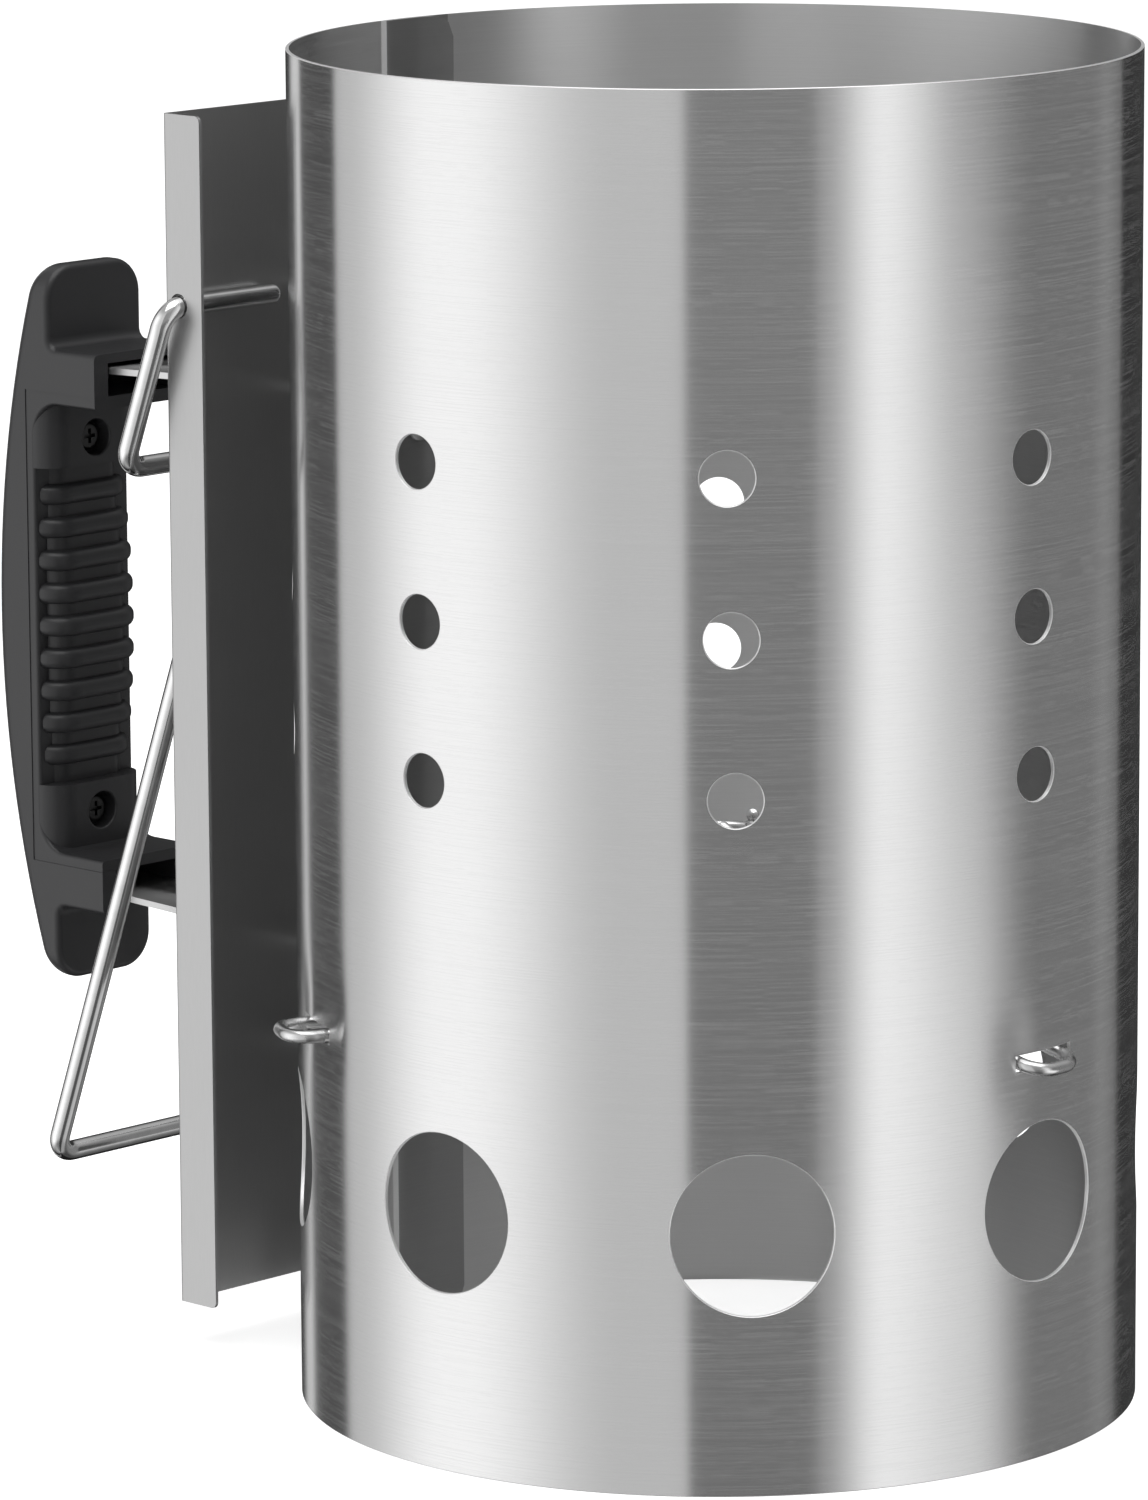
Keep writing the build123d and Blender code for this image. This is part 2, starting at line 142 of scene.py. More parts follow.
def levels(value, low, high, start=0.3, end=0.7, **options):
    """Carry a number from one range to another, and no further."""
    return Number(get(value.socket.id_data, "ShaderNodeMapRange", {
        "Value": value, "From Min": start, "From Max": end,
        "To Min": low, "To Max": high}, **options))


def eased(value, start, end):
    """Runs smoothly from 0 to 1 between two values."""
    return levels(value, 0.0, 1.0, start, end, interpolation_type="SMOOTHSTEP")


def between(value, low, high):
    """1 where a number lies between two others, else 0."""
    return (value > low) * (value < high)


# %% [markdown]
# ## Trees that make shapes
#
# Each Geometry Nodes tree has named inputs for its sizes. Running it needs an object for
# a moment; what is kept is a plain mesh, which can be exported and hung on its body.

# %% Helpers for shape trees
def shape_tree(name, sizes):
    """A Geometry Nodes tree whose inputs are the sizes of one kind of piece."""
    tree = bpy.data.node_groups.new(name, "GeometryNodeTree")
    tree.interface.new_socket("Geometry", in_out="INPUT", socket_type="NodeSocketGeometry")
    for label, kind in sizes.items():
        tree.interface.new_socket(label, in_out="INPUT", socket_type=f"NodeSocket{kind}")
    tree.interface.new_socket("Geometry", in_out="OUTPUT", socket_type="NodeSocketGeometry")
    start = tree.nodes.new("NodeGroupInput")
    return tree, {socket.name: Number(socket) if sizes.get(socket.name) == "Float" else socket
                  for socket in start.outputs}


def end_tree(tree, geometry, *others):
    """Realize, give the finish and any others with the faces they go on, and end the tree."""
    geometry = get(tree, "GeometryNodeRealizeInstances", {"Geometry": geometry})
    source = next(node for node in tree.nodes if node.bl_idname == "NodeGroupInput")
    for label, faces in (("Finish", True),) + others:
        geometry = get(tree, "GeometryNodeSetMaterial", {
            "Geometry": geometry, "Selection": faces, "Material": source.outputs[label]})
    tree.links.new(geometry, tree.nodes.new("NodeGroupOutput").inputs[0])


def where_am_i(tree):
    """The three coordinates of each point."""
    return parts_of(tree, get(tree, "GeometryNodeInputPosition"))


def placed(tree, geometry, **change):
    """A mesh that is moved, turned or scaled."""
    return get(tree, "GeometryNodeTransform", {"Geometry": geometry, **change})


def join(tree, *parts):
    """Several meshes as one."""
    joined = tree.nodes.new("GeometryNodeJoinGeometry")
    for part in parts:
        tree.links.new(part, joined.inputs[0])
    return joined.outputs[0]


def crisp(tree, geometry, angle=radians(35)):
    """Smooth shading, with sharp edges where the faces turn by more than an angle."""
    smooth = get(tree, "GeometryNodeSetShadeSmooth", {"Geometry": geometry}, domain="FACE")
    turn = Number(get(tree, "GeometryNodeInputMeshEdgeAngle", output="Unsigned Angle"))
    return get(tree, "GeometryNodeSetShadeSmooth", {
        "Geometry": smooth, "Selection": turn > angle, "Shade Smooth": False}, domain="EDGE")


# %% Helpers for what repeats
def in_a_row(tree, count, first, step):
    """Points that start at one place and go on by equal steps."""
    return get(tree, "GeometryNodeMeshLine", {
        "Count": count, "Start Location": first, "Offset": step})


def at_each(tree, points, piece, **scale):
    """The same piece at each point."""
    return get(tree, "GeometryNodeInstanceOnPoints", {
        "Points": points, "Instance": piece, **scale})


# %% Run a tree
def grow(name, tree, values, data=None):
    """Run a tree with its values and keep the result as a plain mesh."""
    host = bpy.data.objects.new(name + ".host", data or bpy.data.meshes.new(name + ".host"))
    bpy.context.scene.collection.objects.link(host)
    run = host.modifiers.new("shape", "NODES")
    run.node_group = tree
    for item in tree.interface.items_tree:
        if item.in_out == "INPUT" and item.name in values:
            run[item.identifier] = values[item.name]
    host.update_tag()
    graph = bpy.context.evaluated_depsgraph_get()
    mesh = bpy.data.meshes.new_from_object(host.evaluated_get(graph))
    host.modifiers.clear()
    bpy.data.objects.remove(host)
    piece = bpy.data.objects.new(name, mesh)
    mesh.name = name
    bpy.context.scene.collection.objects.link(piece)
    print(name, "has", len(mesh.polygons), "faces")
    return piece


def stand_in_for(piece, body, slot, *names):
    """Hang a finished piece on its body, in place of its plain solids."""
    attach(piece, body)
    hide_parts(*names)


# %% [markdown]
# ## The camera
#
# The object is seen from a little above, from the side away from the grip, through a
# long lens, so its walls stay almost upright. A long lens far away flattens the ellipse
# of the rim; a short one close by would open it.

# %% Camera
camera_data = bpy.data.cameras.new("camera")
camera = bpy.data.objects.new("camera", camera_data)
bpy.context.scene.collection.objects.link(camera)
camera_data.sensor_fit = "HORIZONTAL"
camera_data.sensor_width = 36.0
camera_data.lens = 253.9
camera_data.clip_end = 50.0
place = Matrix.Translation((1.21708, -1.31272, 0.48543))
heading = Matrix.Rotation(radians(43.861), 4, "Z")
tilt = Matrix.Rotation(radians(90.0 - 10.703), 4, "X")
roll = Matrix.Rotation(radians(-0.35), 4, "Z")
camera.matrix_world = place @ heading @ tilt @ roll
bpy.context.scene.camera = camera
bpy.context.scene.view_settings.view_transform = "Standard"
print("camera", round(camera.location.length, 2), "m from the middle")

# %% [markdown]
# ## Steel
#
# Brushed sheet has fine scratches along one direction. They blur a reflection across
# their own run, so an upright tube with scratches round it shows tall bands. The shader
# does this with anisotropy, and a stretched noise adds the streaks that the eye sees.

# %% Helpers for finishes
def new_material(name):
    """A material, its tree and its shader."""
    material = bpy.data.materials.new(name)
    material.use_nodes = True
    tree = material.node_tree
    shader = next(node for node in tree.nodes if node.bl_idname == "ShaderNodeBsdfPrincipled")
    return material, tree, shader


def noise(tree, per_metre, detail=2.0, roughness=0.6, stretch=(1, 1, 1)):
    """Noise on object coordinates, drawn out along the axes with the small factors."""
    where = get(tree, "ShaderNodeTexCoord", output="Object")
    drawn = get(tree, "ShaderNodeMapping", {"Vector": where, "Scale": stretch})
    return Number(get(tree, "ShaderNodeTexNoise", {
        "Vector": drawn, "Scale": per_metre, "Detail": detail, "Roughness": roughness},
        output="Fac"))


def grey(shade, blue=None):
    """A colour with equal parts, or with a blue part of its own."""
    return get(shade.socket.id_data, "ShaderNodeCombineColor", {
        "Red": shade, "Green": shade, "Blue": blue or shade})


def bumps(tree, height, strength, depth):
    """A surface that rises and falls with a noise."""
    return get(tree, "ShaderNodeBump", {
        "Strength": strength, "Distance": depth, "Height": height})


# %% Brushed sheet and drawn wire
def brushed_sheet(name, stretch, round_about_z=False, tone=0.66, rough=0.19, along=0.97,
                  glint=0.13, metal=1.0):
    """Sheet brushed along one direction: round the tube, or straight."""
    material, tree, shader = new_material(name)
    # Two sets of long straight scratches take turns, so that each scratch is short.
    some = noise(tree, per_metre=3400.0, stretch=stretch)
    others = noise(tree, per_metre=4900.0, stretch=stretch)
    patches = noise(tree, per_metre=160.0, detail=1.0, roughness=0.5)
    whose_turn = levels(patches, 0.0, 1.0, start=0.42, end=0.58)
    scratches = some * whose_turn + others * (1.0 - whose_turn)
    cloud = noise(tree, per_metre=14.0, roughness=0.5)
    shade = levels(scratches, tone * 0.985, tone * 1.015, start=0.35, end=0.65)
    feed(shader.inputs["Base Color"], grey(shade))
    feed(shader.inputs["Roughness"],
         levels(scratches, rough - 0.004, rough + 0.008) + levels(cloud, -0.01, 0.02))
    # A scratch scatters a little light, which shows where the sheet reflects something dark.
    feed(shader.inputs["Metallic"], levels(scratches, metal, metal - glint, start=0.46, end=0.62))
    shader.inputs["Anisotropic"].default_value = along
    if round_about_z:
        # A quarter turn: the scratches run round the tube, not up it.
        shader.inputs["Anisotropic Rotation"].default_value = 0.25
        feed(shader.inputs["Tangent"],
             get(tree, "ShaderNodeTangent", direction_type="RADIAL", axis="Z"))
    return material


def plain_wire(name, tone, rough):
    """Drawn wire: bright, with faint die lines and a little haze."""
    material, tree, shader = new_material(name)
    haze = noise(tree, per_metre=160.0, detail=4.0)
    feed(shader.inputs["Base Color"], grey(levels(haze, tone * 0.9, tone * 1.05)))
    feed(shader.inputs["Roughness"], levels(haze, rough * 0.8, rough * 1.5))
    feed(shader.inputs["Normal"], bumps(tree, haze, strength=0.05, depth=0.2 * MM))
    shader.inputs["Metallic"].default_value = 1.0
    return material


# %% Steel finishes
round_the_tube = (0.004, 0.004, 1.0)
along_x, along_y, along_z = (0.05, 1.0, 1.0), (1.0, 0.05, 1.0), (1.0, 1.0, 0.05)
no_direction = (1, 1, 1)

wall_steel = brushed_sheet("rolled steel wall", round_the_tube, True)
# The inner side is rougher than the outer one, and its slightly lighter tone is painted light that
# brightens the inside of the tube.
wall_inside_with_painted_light = brushed_sheet("inside of the wall with painted light", round_the_tube, True, tone=0.7, rough=0.38)
# Painted shade: the tongue of the lap is the same sheet as the wall, given a darker copy of its
# steel.
lap_steel_painted_shade = brushed_sheet("tongue of the lap with painted shade", round_the_tube, True, tone=0.36, rough=0.38)
# The cut faces are really matte; the bright tone on them and on the eased edges is painted
# highlight.
cut_steel_matte_and_painted_highlight = brushed_sheet(
    "cut edge of the wall, matte with painted highlight", no_direction, tone=0.86, rough=0.36, along=0.0, metal=0.6)
shield_steel = brushed_sheet(
    "shield steel", along_z, tone=0.46, rough=0.3, along=0.5, glint=0.03, metal=0.88)
bracket_steel = brushed_sheet("bracket steel", along_y, tone=0.5, rough=0.34, along=0.7)
strap_steel = brushed_sheet("strap steel", along_x, tone=0.62, rough=0.3, along=0.7)
bail_steel = plain_wire("bright bail wire", tone=0.78, rough=0.1)
grate_steel = plain_wire("plated grate wire", tone=0.7, rough=0.22)
rivet_steel = plain_wire("rivet steel", tone=0.6, rough=0.3)
screw_steel = plain_wire("screw steel", tone=0.07, rough=0.34)
print("steel finishes ready")

# %% [markdown]
# ## The grip's plastic
#
# A heat-resistant moulding is charcoal grey with a very fine spark-eroded grain. The
# grain is a bump far smaller than a millimetre; it turns hard reflections into soft
# glows along the rounded edges.

# %% Plastic finish
def moulded_plastic(name, tone, rough):
    """Dark plastic from a mould with a fine grain."""
    material, tree, shader = new_material(name)
    grain = noise(tree, per_metre=2400.0)
    cloud = noise(tree, per_metre=40.0, detail=3.0)
    shade = levels(cloud, tone * 0.92, tone * 1.1)
    feed(shader.inputs["Base Color"], grey(shade, blue=shade * 1.06))
    feed(shader.inputs["Roughness"], levels(cloud, rough, rough + 0.08))
    feed(shader.inputs["Normal"], bumps(tree, grain, strength=0.25, depth=0.1 * MM))
    shader.inputs["IOR"].default_value = 1.5
    return material


grip_plastic = moulded_plastic("charcoal moulding", tone=0.027, rough=0.33)
print("plastic ready")

# %% [markdown]
# ## The rolled wall
#
# The real wall starts as a flat blank. The maker punches the vents, the ports and the
# slots while it lies flat, then rolls it until one end tucks under the other. The tree
# does the same: a flat plate, cutters on a grid and on lines, one boolean, and then a
# rule that bends the plate round the axis. Rolling last keeps every hole true.

# %% Sizes of the wall
_, tube_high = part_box("tube_wall")
slot_height, slot_opening, slot_turn = 90, 3.8, 1.9     # millimetres, and degrees
wall = {
    "Radius": tube_high.x, "Height": tube_high.z, "Sheet": 0.8 * MM,
    "Start": radians(-186.5), "End": radians(185.9), "Joggle": radians(-173.9),
    "Corner": 5 * MM,
    "Vent radius": 6 * MM, "Vent turn": radians(44.4), "Vent rise": 34.8 * MM,
    "Vent middle": 188.5 * MM, "Vent first": radians(-0.8), "Vent lean": radians(0.5),
    "Port radius": 17.9 * MM, "Port turn": radians(44.1), "Port first": radians(1.5),
    "Port height": 58.1 * MM,
    "Slot width": 19 * MM, "Slot opening": slot_opening * MM, "Slot height": slot_height * MM,
    "Slot first": radians(slot_turn),
    "Edge break": 0.16 * MM, "Lap lift": 1.2 * MM, "Pucker": 0.35 * MM,
    "Finish": wall_steel, "Inner painted light finish": wall_inside_with_painted_light, "Lap painted shade finish": lap_steel_painted_shade,
    "Matte edge and painted highlight finish": cut_steel_matte_and_painted_highlight}
vent_columns, vent_rows, port_count, slot_count = 7, 3, 7, 3
print("wall", round(wall["Radius"] * 2000), "mm across,", round(wall["Height"] * 1000), "mm high")

# %% The punch for round holes
punch_length = 6 * MM       # every punch passes the sheet on both sides


def round_punch(tree, size, radius):
    """A rod that lies along Y, with a shoulder that eases the outer edge of its hole."""
    rod = get(tree, "GeometryNodeMeshCylinder", {
        "Vertices": 72, "Side Segments": 2, "Radius": radius, "Depth": punch_length})
    x, y, z = where_am_i(tree)
    near = 1 * MM           # tells the rod's middle row of corners from its two ends
    outer_end = z > near
    middle_row = work_out("COMPARE", z, 0.0, near)
    surface = size["Sheet"] * 0.5
    beyond = 0.2 * MM       # how far the shoulder's slope goes on outside the sheet
    wider = 1.0 + outer_end * ((size["Edge break"] + beyond) / radius)
    lift = outer_end * (surface + beyond - z) + middle_row * (surface - size["Edge break"])
    shouldered = get(tree, "GeometryNodeSetPosition", {
        "Geometry": rod, "Position": point(tree, x * wider, y * wider, z + lift)})
    return placed(tree, shouldered, Rotation=(pi / 2, 0, 0))


# %% The plate and its rims
plate_columns, plate_rows = 481, 61     # corners of the plate's grid, along and up


def ease_rims(tree, size, plate, half_height):
    """Break the outer edge of the plate's top and bottom, with the two end rows of its grid."""
    x, y, z = where_am_i(tree)
    reach = abs(z) / half_height
    row = 2.0 / (plate_rows - 1.0)
    last = reach > 1.0 - 0.5 * row
    next_to_last = (reach > 1.0 - 1.5 * row) * (1.0 - last)
    to_rim = half_height - size["Edge break"] - abs(z)
    up = work_out("SIGN", z) * next_to_last * to_rim
    back = last * (y < 0.0) * size["Edge break"]
    return get(tree, "GeometryNodeSetPosition", {
        "Geometry": plate, "Offset": point(tree, 0.0, back, up)})


def flat_plate(tree, size, start, end):
    """The blank, standing along X at the length that rolls up to the wall."""
    half_height = size["Height"] * 0.5
    plate = get(tree, "GeometryNodeMeshCube", {
        "Size": point(tree, end - start, size["Sheet"], size["Height"]),
        "Vertices X": plate_columns, "Vertices Y": 2, "Vertices Z": plate_rows})
    return placed(tree, ease_rims(tree, size, plate, half_height),
                  Translation=point(tree, (start + end) * 0.5, 0.0, half_height))


# %% All the punches
def vent_spots(tree, size, middle_radius):
    """A grid that leans a little."""
    grid = get(tree, "GeometryNodeMeshGrid", {
        "Size X": size["Vent turn"] * middle_radius * (vent_columns - 1.0),
        "Size Y": size["Vent rise"] * (vent_rows - 1.0),
        "Vertices X": vent_columns, "Vertices Y": vent_rows})
    across, up, _ = where_am_i(tree)
    lean = size["Vent first"] - size["Vent lean"] * (up / size["Vent rise"])
    return get(tree, "GeometryNodeSetPosition", {"Geometry": grid, "Position": point(
        tree, across + lean * middle_radius, 0.0, up + size["Vent middle"])})


def all_punches(tree, size, middle_radius):
    """The punches for the vents, the ports and the slots, where they meet the flat plate."""
    vents = vent_spots(tree, size, middle_radius)

    # Ports: one row, of which the middle one faces away from the grip.
    step = size["Port turn"] * middle_radius
    first = size["Port first"] * middle_radius - step * ((port_count - 1) / 2)
    ports = in_a_row(tree, port_count, point(tree, first, 0.0, size["Port height"]),
                     point(tree, step))

    # Slots: equal steps round the whole tube.
    third = middle_radius * (2 * pi / slot_count)
    first = size["Slot first"] * middle_radius - third
    slots = in_a_row(tree, slot_count, point(tree, first, 0.0, size["Slot height"]),
                     point(tree, third))
    block = get(tree, "GeometryNodeMeshCube", {
        "Size": point(tree, size["Slot width"], punch_length, size["Slot opening"])})

    punches = join(tree, at_each(tree, vents, round_punch(tree, size, size["Vent radius"])),
                   at_each(tree, ports, round_punch(tree, size, size["Port radius"])),
                   at_each(tree, slots, block))
    return get(tree, "GeometryNodeRealizeInstances", {"Geometry": punches})


# %% How far the sheet steps in
half_joggle = 0.012         # radians of the joggle's slope, to each side of its middle
tucked_in = 1.02            # how far the tucked end steps in, for one thickness of the sheet
spring_start, spring_end = radians(6.6), radians(12.6)      # how far past the joggle


def puckers(size, angle, height, middle_radius):
    """Shallow hollows just above both ends of each slot, where the wires drag on the sheet."""
    rise, wide, tall = 4 * MM, 6 * MM, 9 * MM
    half_way = pi / slot_count
    from_slot = work_out("WRAP", angle - size["Slot first"], half_way, -half_way)
    from_end = abs(from_slot) * middle_radius - size["Slot width"] * 0.5
    above = height - (size["Slot height"] + rise)
    spread = (from_end / wide) ** 2.0 + (above / tall) ** 2.0
    return work_out("EXPONENT", spread * -1.0) * size["Pucker"]


def steps_in(size, angle, height, middle_radius):
    """The tucked end steps in by one sheet, and past the rivets its free edge springs off."""
    past = size["Joggle"] - angle
    joggle = eased(past, -half_joggle, half_joggle) * (size["Sheet"] * tucked_in)
    sprung = levels(past, 0.0, 1.0, spring_start, spring_end) * size["Lap lift"]
    return joggle + sprung + puckers(size, angle, height, middle_radius)


# %% Which faces get which finish
# Painted highlight: the bright crease is the edge steel put on the joggle.
crease_margin = 0.002       # radians that the bright crease starts before the joggle's middle


def sides_of_the_wall(tree, size):
    """Inner faces look at the axis; the cut and eased edges look neither in nor out."""
    x, y, z = where_am_i(tree)
    outwards = get(tree, "ShaderNodeVectorMath", {0: point(tree, x, y)}, operation="NORMALIZE")
    normal = get(tree, "GeometryNodeInputNormal")
    facing = Number(get(tree, "ShaderNodeVectorMath", {0: normal, 1: outwards}, "Value",
                        operation="DOT_PRODUCT"))
    inner = facing < 0.0
    # The eased edges get the bright edge steel too, which is painted highlight.
    edge = abs(facing) < 0.8        # turned away by more than 37 degrees
    # The tongue gets painted shade, a darker copy of the wall's steel, and the joggle's crease gets
    # painted highlight from the bright edge steel.
    from_the_grip = work_out("ARCTAN2", y * -1.0, x * -1.0)
    free_edge = size["Start"] + pi
    joggle = size["Joggle"] + pi
    crease_start = joggle - crease_margin
    tongue_with_painted_shade = inner * between(from_the_grip, free_edge, crease_start)
    # Painted highlight: the joggle's crease gets the bright edge steel.
    crease_painted_highlight = inner * between(from_the_grip, crease_start, joggle + half_joggle)
    return (("Inner painted light finish", inner), ("Lap painted shade finish", tongue_with_painted_shade),
            ("Matte edge and painted highlight finish", work_out("MAXIMUM", edge, crease_painted_highlight)))


# %% Punch and roll
def wall_tree():
    """A flat plate, punched and then rolled."""
    tree, size = shape_tree("punched and rolled wall", {
        name: "Material" if name.lower().endswith("finish") else "Float" for name in wall})
    middle_radius = size["Radius"] - size["Sheet"] * 0.5
    start = size["Start"] * middle_radius
    end = size["End"] * middle_radius
    cut = get(tree, "GeometryNodeMeshBoolean", {
        "Mesh 1": flat_plate(tree, size, start, end),
        "Mesh 2": all_punches(tree, size, middle_radius)}, operation="DIFFERENCE", solver="EXACT")

    # Roll: the length becomes an angle.
    x, y, z = where_am_i(tree)
    angle = x / middle_radius
    radius = middle_radius - y - steps_in(size, angle, z, middle_radius)

    # The free edge has rounded corners: close to it, the sheet is a little less high.
    half_height = size["Height"] * 0.5
    corner = size["Corner"]
    short = work_out("MAXIMUM", corner - (x - start), 0.0)
    chord = work_out("SQRT", corner ** 2.0 - short ** 2.0)
    drop = (corner - chord) / half_height
    height = half_height + (z - half_height) * (1.0 - drop)
    rolled = point(tree, radius * work_out("COSINE", angle),
                   radius * work_out("SINE", angle), height)
    tube = get(tree, "GeometryNodeSetPosition", {"Geometry": cut, "Position": rolled})
    end_tree(tree, crisp(tree, tube), *sides_of_the_wall(tree, size))
    return tree


tube_wall = grow("rolled_wall", wall_tree(), wall)
stand_in_for(tube_wall, "starter", "stainless_sheet", "tube_wall")

# %% [markdown]
# ## Bent wire
#
# The bail and the three grate wires are bent from straight wire. Each route is only a
# few corners; the tree rounds the corners to the bend's radius, sweeps a circle along
# the result and eases the two cut ends. Modelling the bends by hand would take a ring
# of faces at every corner and could never be changed again.

# %% Wire tree
def wire_tree():
    """A wire along a route, with rounded bends and eased ends."""
    tree, size = shape_tree("bent wire", {
        "Wire radius": "Float", "Bend radius": "Float", "End ease": "Float", "Sides": "Int",
        "Finish": "Material"})
    bends = get(tree, "GeometryNodeFilletCurve", {
        "Curve": size["Geometry"], "Radius": size["Bend radius"], "Count": 14,
        "Limit Radius": True}, mode="POLY")
    even = get(tree, "GeometryNodeResampleCurve", {
        "Curve": bends, "Length": 0.5 * MM}, mode="LENGTH")
    along = Number(get(tree, "GeometryNodeSplineParameter", output="Length"))
    whole = Number(get(tree, "GeometryNodeSplineLength", output="Length"))
    ease = size["End ease"]
    to_end = work_out("MINIMUM", along, whole - along)
    short = work_out("MAXIMUM", ease - to_end, 0.0)
    chord = work_out("SQRT", work_out("MAXIMUM", ease ** 2.0 - short ** 2.0, 0.0))
    circle = get(tree, "GeometryNodeCurvePrimitiveCircle", {
        "Resolution": size["Sides"], "Radius": 1.0})
    swept = get(tree, "GeometryNodeCurveToMesh", {
        "Curve": even, "Profile Curve": circle, "Scale": size["Wire radius"] - ease + chord,
        "Fill Caps": True})
    end_tree(tree, crisp(tree, swept))
    return tree


def route(name, corners):
    """A curve with one straight run between each two corners, given in millimetres."""
    curve = bpy.data.curves.new(name, "CURVE")
    curve.dimensions = "3D"
    spline = curve.splines.new("POLY")
    spline.points.add(len(corners) - 1)
    for knot, corner in zip(spline.points, corners):
        knot.co = (*(value * MM for value in corner), 1)
    return curve


def and_mirrored(half):
    """Half of a route, and back to its start on the other side."""
    return half + [(x, -y, z) for x, y, z in reversed(half)]


bent_wire = wire_tree()
bend_radius = 5.5 * MM

# %% Bail
bail_half = [
    (-113.5, -26, 243.3),       # the wire's end, between the flanges of the shield
    (-113.5, -61, 243.3),       # out through the flange
    (-128.3, -61, 204.8),       # down to the knee
    (-128.3, -25.6, 204.8),     # in again
    (-194.6, -25.6, 26.5),      # and down to the crossbar
]
bail = grow("swinging_bail", bent_wire, {
    "Wire radius": 2.4 * MM, "Bend radius": bend_radius, "End ease": 1.6 * MM, "Sides": 28,
    "Finish": bail_steel}, route("bail route", and_mirrored(bail_half)))
stand_in_for(bail, "bail", "bail_steel", "bail_wire")

# %% [markdown]
# ## The grate
#
# Three wires cross the tube, rise to a low cone and end in a loop outside each slot. All
# their legs climb at one slope. What differs is how far each loop reaches out and how
# much it droops, because the grate lies loose in its slots. The bend between leg and
# loop is worked out, so that each wire rests on the lower edge of its slot.

# %% Sizes of the grate, in millimetres
tube_radius = 95
slot_floor = slot_height - slot_opening / 2
grate_wire = 1.5            # radius of the wire
leg_offset = 7              # from the middle of a loop to each of its two legs
leg_slope = 0.5425          # rise for each millimetre towards the middle
level_reach = 86            # how far out a leg has come down to the height of the slots' floors
loose = (-0.76, -0.48)      # how far the grate has slid in its slots


def leg_height(reach):
    """Height of a leg's centre line at a distance from the grate's middle."""
    return slot_floor + grate_wire + (level_reach - reach) * leg_slope


def turned(corner, angle):
    """A corner of a grate wire, turned to its slot and moved with the loose grate."""
    x, y, z = corner
    c, s = cos(radians(angle)), sin(radians(angle))
    return (x * c - y * s + loose[0], x * s + y * c + loose[1], z)


# %% Grate wires
def loop_corners(angle, loop_end, tip, fall):
    """One wire's corners: from a tip down its leg, out over the slot, round and back."""
    slot_edge = (sqrt(tube_radius ** 2 - leg_offset ** 2)
                 - loose[0] * cos(radians(angle)) - loose[1] * sin(radians(angle)))
    rest = slot_floor + grate_wire * hypot(1, fall)
    bend = (leg_height(0) - rest - slot_edge * fall) / (leg_slope - fall)
    half = [(tip, -leg_offset, leg_height(tip)), (bend, -leg_offset, leg_height(bend)),
            (loop_end, -leg_offset, rest + (slot_edge - loop_end) * fall)]
    return [turned(corner, angle) for corner in and_mirrored(half)]


# Each loop: its slot's angle, its end, its tips, and how it falls for a millimetre outwards.
loops = {
    "front": (slot_turn, 100.0, 8.0, 0.24),
    "left": (slot_turn + 120, 101.7, 10.5, 0.0),
    "right": (slot_turn + 240, 101.3, 9.5, 0.0)}
for name, sizes in loops.items():
    wire = grow(f"grate_loop_{name}", bent_wire, {
        "Wire radius": grate_wire * MM, "Bend radius": bend_radius, "End ease": 1.2 * MM,
        "Sides": 20, "Finish": grate_steel}, route(name + " route", loop_corners(*sizes)))
    stand_in_for(wire, "starter", "grate_steel", f"grate_wire_{name}")

# %% [markdown]
# ## Welded rings
#
# Each ring lies under the six legs and is spot-welded to them. The tree sweeps one
# circle along another and puts a small bead of weld at each crossing. The crossings
# follow from the ring's radius and the distance between the legs, so the same tree
# serves all three rings.

# %% Ring tree
bead_height = 0.95          # of a bead's middle above the ring's, for one radius of the wire
bead_flatness = 0.62


def ring_tree():
    """A ring of wire with a flattened bead where each leg crosses it."""
    tree, size = shape_tree("welded ring", {
        "Ring radius": "Float", "Wire radius": "Float", "Leg offset": "Float",
        "First leg": "Float", "Bead": "Float", "Centre": "Vector", "Finish": "Material"})
    hoop = get(tree, "GeometryNodeCurvePrimitiveCircle", {
        "Resolution": 192, "Radius": size["Ring radius"]})
    section = get(tree, "GeometryNodeCurvePrimitiveCircle", {
        "Resolution": 20, "Radius": size["Wire radius"]})
    ring = get(tree, "GeometryNodeCurveToMesh", {"Curve": hoop, "Profile Curve": section})

    # Six crossings: a pair for each wire, one on each side of its middle.
    number = Number(get(tree, "GeometryNodeInputIndex"))
    pair = work_out("FLOOR", number / 2.0)
    side = work_out("MODULO", number, 2.0) * 2.0 - 1.0
    spread = work_out("ARCSINE", size["Leg offset"] / size["Ring radius"])
    angle = size["First leg"] + pair * (2 * pi / 3) + spread * side
    spots = get(tree, "GeometryNodePoints", {"Count": 6, "Position": point(
        tree, size["Ring radius"] * work_out("COSINE", angle),
        size["Ring radius"] * work_out("SINE", angle), size["Wire radius"] * bead_height)})
    ball = get(tree, "GeometryNodeMeshUVSphere", {
        "Segments": 16, "Rings": 10, "Radius": size["Bead"]})
    beads = at_each(tree, spots, ball, Scale=(1.0, 1.0, bead_flatness))
    welded = placed(tree, join(tree, ring, beads), Translation=size["Centre"])
    end_tree(tree, crisp(tree, welded))
    return tree


# %% Rings
welded_ring = ring_tree()
weld_depth = 0.3            # how far the crossing wires run into each other
for name, ring_radius in {"inner": 14, "middle": 45, "outer": 76}.items():
    legs_here = leg_height(sqrt(ring_radius ** 2 - leg_offset ** 2))
    ring_z = legs_here - (2 * grate_wire - weld_depth) * hypot(1, leg_slope)
    ring = grow(f"grate_hoop_{name}", welded_ring, {
        "Ring radius": ring_radius * MM, "Wire radius": grate_wire * MM,
        "Leg offset": leg_offset * MM, "First leg": radians(slot_turn), "Bead": 1.9 * MM,
        "Centre": (loose[0] * MM, loose[1] * MM, ring_z * MM), "Finish": grate_steel})
    stand_in_for(ring, "starter", "grate_steel", f"grate_ring_{name}")

